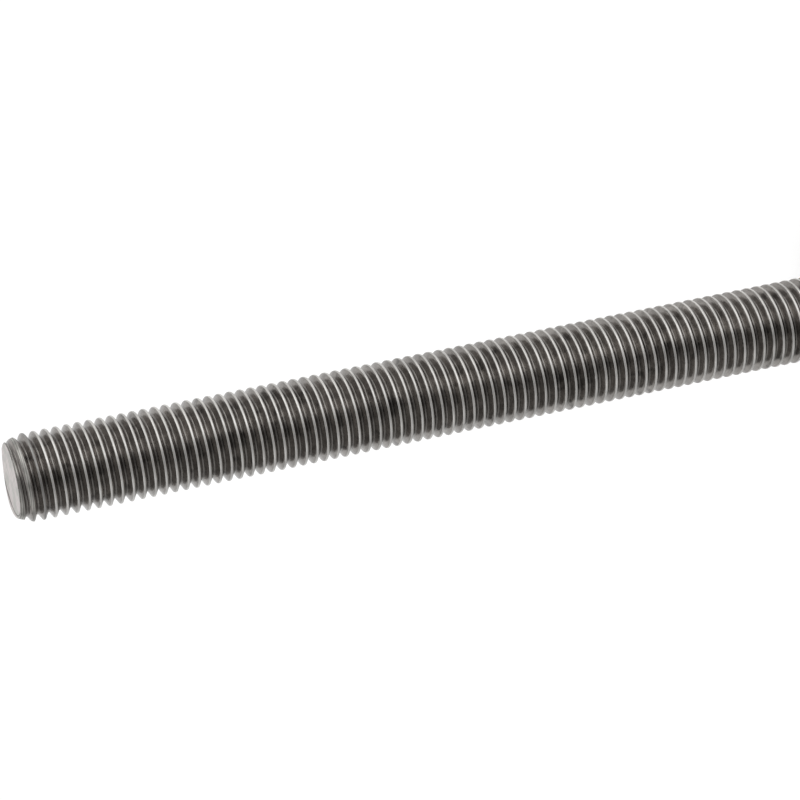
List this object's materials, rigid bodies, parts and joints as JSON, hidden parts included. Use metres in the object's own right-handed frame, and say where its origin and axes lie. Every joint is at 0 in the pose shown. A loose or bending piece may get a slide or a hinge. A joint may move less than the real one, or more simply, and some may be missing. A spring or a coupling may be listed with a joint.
{
  "type": "threaded rod",
  "caption": "Straight steel rod with a right-hand screw thread along its whole length and chamfered flat ends, for joining, hanging or clamping with nuts.",
  "frame": {"origin": "centre of the lower end face", "axes": "+Z along the rod's axis, from the lower end to the upper end"},
  "size_m": [0.0158, 0.0158, 0.16],
  "materials": {
    "steel": "plain mill finish, rolled thread with brighter crests and darker flanks"
  },
  "bodies": {
    "root": {"threaded_rod": "steel"}
  },
  "joints": []
}
